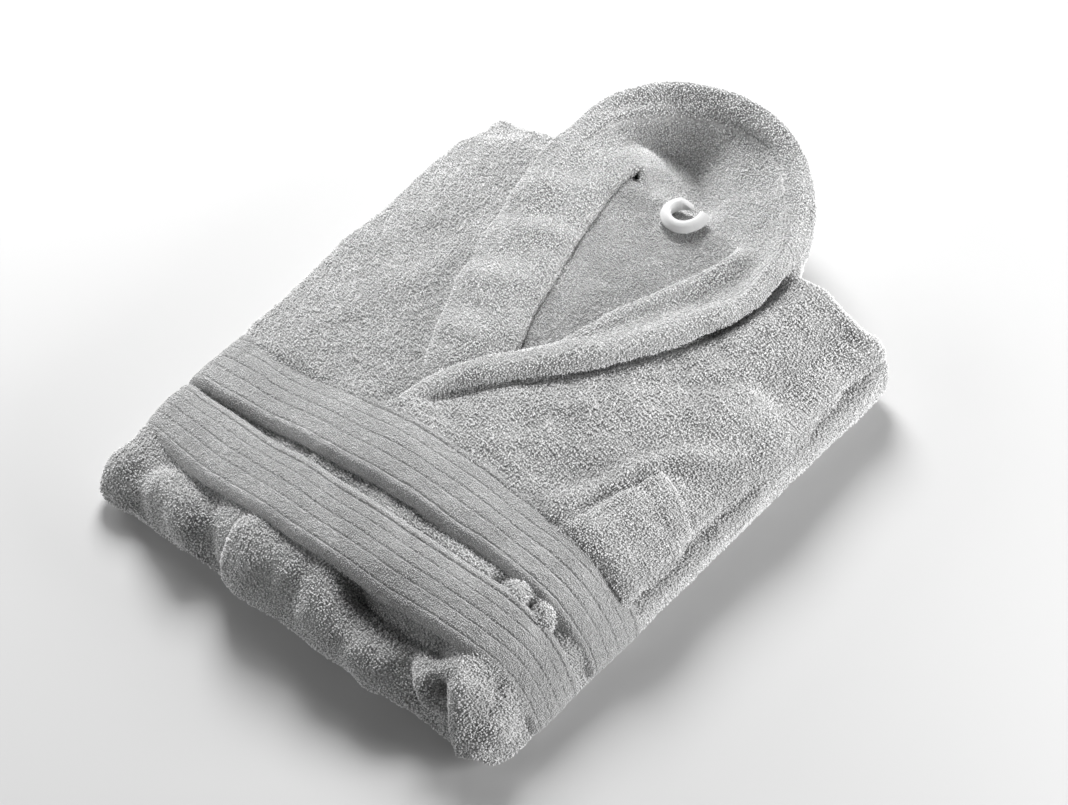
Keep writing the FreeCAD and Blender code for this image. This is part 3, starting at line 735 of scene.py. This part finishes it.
def hanging_loop():
    """Smooth tape rolled into a soft ring on edge, its ends overlapping at the neck seam."""
    bearings = np.radians(np.linspace(LOOP_BEARINGS[0], LOOP_BEARINGS[-1], 64))
    radius = np.interp(np.degrees(bearings), LOOP_BEARINGS, LOOP_RADII)
    line = [LOOP_CENTRE + r * np.array([math.cos(a), math.sin(a)]) for r, a in zip(radius, bearings)]
    path = curve(np.array(line), 150)
    t = np.linspace(0, 1, len(path))[:, None]
    s = np.linspace(0, 1, 16)[None]
    last_end = ramp_up(t, 0.95, 0.05) ** 2
    first_end = ramp_up(0.12 - t, 0, 0.12)
    high = LOOP_HIGH - 2.4 * last_end - 3.0 * first_end
    grid = as_grid(path[:, 0:1], path[:, 1:2], LOOP_LOW + (high - LOOP_LOW) * s)
    out = normals(grid)
    grid = grid + out * (0.7 * np.sin(np.pi * s))[..., None]
    half = 3.0 + 0.5 * np.sin(np.pi * s) - 0.8 * last_end - 1.4 * first_end
    return slab("hanging_loop_tape", grid, half, out, edge_steps=7)


# ---- materials ----
def set_socket(node, **values):
    """Sets inputs by name, with underscores for spaces, and gives the node back."""
    for key, value in values.items():
        node.inputs[key.replace("_", " ")].default_value = value
    return node


def shade(nodes, kind, **values):
    return set_socket(nodes.new("ShaderNode" + kind), **values)


def material(name, **values):
    """New material with these shader settings: itself, its nodes and its shader."""
    mat = bpy.data.materials.new(name)
    mat.use_nodes = True
    nodes = mat.node_tree.nodes
    return mat, nodes, set_socket(nodes["Principled BSDF"], **values)


def wire(source, out, target, key):
    """Links an output to an input of another node, each by its name or number."""
    source.id_data.links.new(source.outputs[out], target.inputs[key])


def arithmetic(nodes, operation, factor=1.0):
    node = shade(nodes, "Math")
    node.operation = operation
    node.inputs[1].default_value = factor
    return node


def grey_mix(nodes, shader, first, second, factor):
    """Colours the shader between two greys, by the result of the factor node."""
    ramp = shade(nodes, "Mix")
    ramp.data_type = "RGBA"
    ramp.inputs[6].default_value = (first, first, first, 1)
    ramp.inputs[7].default_value = (second, second, second, 1)
    wire(factor, 0, ramp, 0)
    wire(ramp, 2, shader, "Base Color")


def bump(nodes, shader, height, strength, distance):
    """Roughens the shader by the height node's first output."""
    bumper = shade(nodes, "Bump", Strength=strength, Distance=distance)
    wire(height, 0, bumper, "Height")
    wire(bumper, "Normal", shader, "Normal")


def terry(name, light, dark, grain=620.0, bumpiness=0.9):
    """Looped cotton: grey with painted shade in the gaps between loop-sized cells and a random mottle, fuzzy
    bump at the size of a loop, and a soft sheen.
    """
    mat, nodes, shader = material(name, Roughness=0.95, Sheen_Weight=0.35, Sheen_Roughness=0.5,
                                  Specular_IOR_Level=0.12)
    coords = shade(nodes, "TexCoord")
    cells = shade(nodes, "TexVoronoi", Scale=grain)
    fuzz = shade(nodes, "TexNoise", Scale=grain * 1.6, Detail=3.0, Roughness=0.65)
    cloud = shade(nodes, "TexNoise", Scale=26.0, Detail=3.0)
    for node in (cells, fuzz, cloud):
        wire(coords, "Object", node, "Vector")
    shift = shade(nodes, "MapRange", From_Min=0.35, From_Max=0.7, To_Min=-0.2, To_Max=0.25)
    wire(cloud, "Fac", shift, "Value")
    # painted shade: the colour turns dark towards the edge of each loop-sized cell, as if in the gaps between
    # loops; the cloud adds a random mottle on top
    painted_gap_shade_and_mottle = arithmetic(nodes, "MULTIPLY_ADD", 0.9)
    wire(cells, "Distance", painted_gap_shade_and_mottle, 0)
    wire(shift, "Result", painted_gap_shade_and_mottle, 2)
    grey_mix(nodes, shader, light, dark, painted_gap_shade_and_mottle)
    height = arithmetic(nodes, "SUBTRACT")
    wire(fuzz, "Fac", height, 0)
    wire(cells, "Distance", height, 1)
    bump(nodes, shader, height, bumpiness, 0.0011)
    return mat


def yarn(name, light, dark):
    """Matt cotton yarn: tufts differ a little in brightness at random, and each is painted darker towards its
    root, a painted shade where the tufts stand close on the cloth.
    """
    mat, nodes, shader = material(name, Roughness=0.95, Specular_IOR_Level=0.08)
    tip = shade(nodes, "Attribute")
    tip.attribute_name = "tip"
    # painted shade: dark at the root of each tuft, turning light towards its tip
    height = arithmetic(nodes, "MULTIPLY", 0.82)
    wire(tip, "Fac", height, 0)
    mixed = arithmetic(nodes, "MULTIPLY_ADD", 0.22)
    mixed.use_clamp = True
    wire(shade(nodes, "ObjectInfo"), "Random", mixed, 0)
    wire(height, 0, mixed, 2)
    grey_mix(nodes, shader, dark, light, mixed)
    return mat


def tape(name):
    """Smooth woven tape."""
    mat, nodes, shader = material(name, Base_Color=(0.60, 0.60, 0.60, 1), Roughness=0.55,
                                  Sheen_Weight=0.2, Specular_IOR_Level=0.35)
    weave = shade(nodes, "TexNoise", Scale=900.0, Detail=2.0)
    wire(shade(nodes, "TexCoord"), "Object", weave, "Vector")
    bump(nodes, shader, weave, 0.25, 0.0004)
    return mat


BLOBS = 3  # small blobs that make up a tuft
BLOB_LEAN = 0.2  # how far a blob may lean in its tuft, in radians
TUFT_LEAN = 0.4  # how far a tuft may lean on the cloth
DOWNWARD = -0.45  # no tufts where the surface's normal points further down than this
BARE = 0.45  # nor where the bare attribute is above this


def pile_group(name, yarn_look, spacing, height, width, seed):
    """Geometry nodes that stand a tuft of yarn on a piece's surface at every spacing (metres)."""
    group = bpy.data.node_groups.new(name, "GeometryNodeTree")
    for way in ("INPUT", "OUTPUT"):
        group.interface.new_socket("Geometry", in_out=way, socket_type="NodeSocketGeometry")

    def add(kind, **inputs):
        known = kind.startswith(("Shader", "Function", "Node"))
        return set_socket(group.nodes.new(kind if known else "GeometryNode" + kind), **inputs)

    def scatter(low, high, seed_number, target, key):
        """Random values between two limits, each a number or a triple, for an input."""
        single = isinstance(low, float)
        node = add("FunctionNodeRandomValue", Seed=seed_number)
        node.data_type = "FLOAT" if single else "FLOAT_VECTOR"
        first = 2 if single else 0
        node.inputs[first].default_value = low
        node.inputs[first + 1].default_value = high
        wire(node, 1 if single else 0, target, key)

    def compare(source, out, operation, edge, target, key):
        node = add("FunctionNodeCompare")
        node.data_type = "FLOAT"
        node.operation = operation
        node.inputs[1].default_value = edge
        wire(source, out, node, 0)
        wire(node, 0, target, key)

    # a tuft: a few stretched blobs, with the height in the tuft stored for the yarn's painted shade at the
    # root
    stretch = add("Transform", Scale=(width, width, height / 2), Translation=(0, 0, height * 0.32))
    wire(add("MeshIcoSphere", Radius=1.0, Subdivisions=1), 0, stretch, "Geometry")
    places = add("Points", Count=BLOBS)
    scatter((-width, -width, 0), (width, width, 0), 3, places, "Position")
    clump = add("InstanceOnPoints")
    wire(places, 0, clump, "Points")
    wire(stretch, 0, clump, "Instance")
    scatter((-BLOB_LEAN, -BLOB_LEAN, -3.14), (BLOB_LEAN, BLOB_LEAN, 3.14), 5, clump, "Rotation")
    real = add("RealizeInstances")
    wire(clump, 0, real, 0)
    level = add("ShaderNodeSeparateXYZ")
    wire(add("InputPosition"), 0, level, 0)
    rise = add("ShaderNodeMapRange", From_Max=height * 0.8)
    wire(level, 2, rise, "Value")
    mark = add("StoreNamedAttribute", Name="tip")
    wire(real, 0, mark, "Geometry")
    wire(rise, "Result", mark, "Value")
    coat = add("SetMaterial", Material=yarn_look)
    wire(mark, 0, coat, "Geometry")
    whole = add("GeometryToInstance")
    wire(coat, 0, whole, 0)
    # tufts stand all over the surface, but not on its underside or in its sewn grooves
    split = add("ShaderNodeSeparateXYZ")
    wire(add("InputNormal"), 0, split, 0)
    both_true = add("FunctionNodeBooleanMath")
    compare(split, 2, "GREATER_THAN", DOWNWARD, both_true, 0)
    compare(add("InputNamedAttribute", Name="bare"), 0, "LESS_THAN", BARE, both_true, 1)
    spots = add("DistributePointsOnFaces")
    spots.distribute_method = "POISSON"
    set_socket(spots, Distance_Min=spacing, Density_Max=1.6 / spacing ** 2, Seed=seed)
    source = add("NodeGroupInput")
    wire(source, 0, spots, "Mesh")
    wire(both_true, 0, spots, "Selection")
    turn = add("FunctionNodeRotateRotation")
    turn.rotation_space = "LOCAL"
    wire(spots, "Rotation", turn, "Rotation")
    scatter((-TUFT_LEAN, -TUFT_LEAN, -3.14), (TUFT_LEAN, TUFT_LEAN, 3.14), 7, turn, "Rotate By")
    stand = add("InstanceOnPoints")
    wire(spots, "Points", stand, "Points")
    wire(whole, 0, stand, "Instance")
    wire(turn, 0, stand, "Rotation")
    scatter(0.7, 1.3, 9, stand, "Scale")
    both = add("JoinGeometry")
    wire(stand, 0, both, 0)
    wire(source, 0, both, 0)
    wire(both, 0, add("NodeGroupOutput"), 0)
    return group


# ---- build ----
# in each terry the second grey is the shade painted in the gaps between loops, with a random mottle; in each
# yarn the second grey is the shade painted at the tufts' roots
LOOKS = {"terry_robe": terry("terry_robe", 0.74, 0.26),
         "terry_inside": terry("terry_inside", 0.66, 0.26, grain=760.0, bumpiness=0.6),
         "terry_belt": terry("terry_belt", 0.58, 0.30, grain=760.0, bumpiness=0.6),
         "loop_tape": tape("loop_tape")}
fibre = yarn("yarn_robe", 0.97, 0.34)
fibre_fine = yarn("yarn_fine", 0.97, 0.46)
fibre_inside = yarn("yarn_inside", 0.80, 0.28)
fibre_belt = yarn("yarn_belt", 0.76, 0.32)

# Edges of the belt turns: (x, y) along the head edge, y along the foot edge at the same x.
HEAD_UPPER = [(-180, -97), (-104, -99), (-40, -97), (40, -95), (120, -98), (176, -98)]
FOOT_UPPER = [-151, -155, -155, -152, -153, -152]
HEAD_LOWER = [(-180, -151), (-118, -161), (-44, -166), (26, -166), (116, -163), (176, -160)]
FOOT_LOWER = [-198, -211, -218, -218, -215, -207]

pieces = {}
pieces["under"] = under_layers()
pieces["front"] = right_front()
pieces["facing"] = facing()
pieces["hood_back"] = hood_back()
pieces["yoke"] = yoke()
pieces["upper"] = belt_band("belt_upper_band", HEAD_UPPER, FOOT_UPPER, 51, 0.4)
pieces["lower"] = belt_band("belt_lower_band", HEAD_LOWER, FOOT_LOWER, 61, drop=6.5, turned_down=1.5)
pieces["pocket"] = pocket(pieces["front"])
pieces["loop"] = hanging_loop()
pieces["crossing"] = belt_under("belt_under_crossing", [(-140, -150), (140, -208), (140, -160), (-140, -100)])

SLOTS = {"under": "terry_robe", "front": "terry_robe", "facing": "terry_robe", "hood_back": "terry_robe",
         "yoke": "terry_inside", "upper": "terry_belt", "lower": "terry_belt", "pocket": "terry_robe",
         "loop": "loop_tape", "crossing": "terry_belt"}
for key, slot in SLOTS.items():
    pieces[key].data.materials.append(LOOKS[slot])

long_pile = pile_group("pile_long", fibre, 0.00118, 0.0019, 0.00042, seed=1)
fine_pile = pile_group("pile_fine", fibre_fine, 0.00112, 0.0016, 0.00039, seed=2)
yoke_pile = pile_group("pile_yoke", fibre_inside, 0.00108, 0.0013, 0.00036, seed=3)
belt_pile = pile_group("pile_belt", fibre_belt, 0.00095, 0.0008, 0.00031, seed=4)
PILES = {"under": long_pile, "front": long_pile, "hood_back": long_pile, "facing": fine_pile,
         "pocket": fine_pile, "yoke": yoke_pile, "upper": belt_pile, "lower": belt_pile}
for key, group in PILES.items():
    pieces[key].modifiers.new("pile", "NODES").node_group = group

for key in ("under", "front", "yoke", "pocket"):
    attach(pieces[key], "root")
for key in ("upper", "lower", "crossing"):
    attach(pieces[key], "belt")
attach(pieces["loop"], "hanging_loop")
for key in ("facing", "hood_back"):
    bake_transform(pieces[key])

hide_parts("front_panel_left", "back_panel", "sleeve_left", "sleeve_right", "cuff_left",
            "cuff_right", "skirt_fold", "skirt_hem", "pocket_left", "belt_loop_left", "belt_loop_right")
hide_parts("front_panel_right")
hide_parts("lapel_left", "lapel_right", "hood_left", "hood_hem")
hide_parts("hood_right")
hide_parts("back_neck_yoke")
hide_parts("belt_upper_wrap", "belt_end_upper")
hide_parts("belt_lower_wrap", "belt_end_lower")
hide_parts("belt_crossover")
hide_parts("pocket_right")
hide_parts("hanging_loop")


# ---- stage ----
SENSOR, LENS = 36, 151  # camera, in millimetres
AZIMUTH, ELEVATION, DISTANCE = 40.3, 51.5, 3.0
TARGET = Vector((0.0145, -0.0145, 0.040))
AIM = Vector((0, 0, 0.03))  # what the lights point at
FLOOR_DROP = 0.0003  # metres from the table's surface down to the floor plane
# Lights: name, position in metres, size in metres, power in watts.
LIGHTS = [("key", (-0.92, 0.88, 1.25), 0.9, 42), ("top", (-0.8, 0.6, 1.7), 0.8, 5),
          ("left", (-1.4, 0.2, 0.5), 0.8, 10), ("right", (1.3, 0.45, 0.36), 0.7, 23),
          ("front", (-0.9, -1.3, 0.8), 1.0, 6.5)]


def add_floor():
    bpy.ops.mesh.primitive_plane_add(size=14, location=(0, 0, -FLOOR_DROP))
    floor = bpy.context.object
    floor.name = "floor"
    paint = material("floor_paint", Base_Color=(0.60, 0.60, 0.60, 1), Roughness=0.9,
                     Specular_IOR_Level=0.1)[0]
    floor.data.materials.append(paint)


def place(name, data, position, direction):
    """Puts a light or camera in the scene, looking against the direction."""
    obj = bpy.data.objects.new(name, data)
    bpy.context.scene.collection.objects.link(obj)
    obj.location = position
    obj.rotation_euler = direction.to_track_quat("Z", "Y").to_euler()
    return obj


def add_camera():
    data = bpy.data.cameras.new("camera")
    data.sensor_width = SENSOR
    data.lens = LENS
    a, e = math.radians(AZIMUTH), math.radians(ELEVATION)
    back = Vector((math.sin(a) * math.cos(e), -math.cos(a) * math.cos(e), math.sin(e)))
    bpy.context.scene.camera = place("camera", data, TARGET + back * DISTANCE, back)


def add_lights():
    for name, position, size, power in LIGHTS:
        data = bpy.data.lights.new(name, "AREA")
        data.shape = "DISK"
        data.size = size
        data.energy = power
        place(name, data, position, Vector(position) - AIM)


add_floor()
add_camera()
add_lights()
world = bpy.data.worlds.new("studio")
world.use_nodes = True
set_socket(world.node_tree.nodes["Background"], Color=(1, 1, 1, 1), Strength=0.05)
bpy.context.scene.world = world
bpy.context.scene.view_settings.view_transform = "Standard"
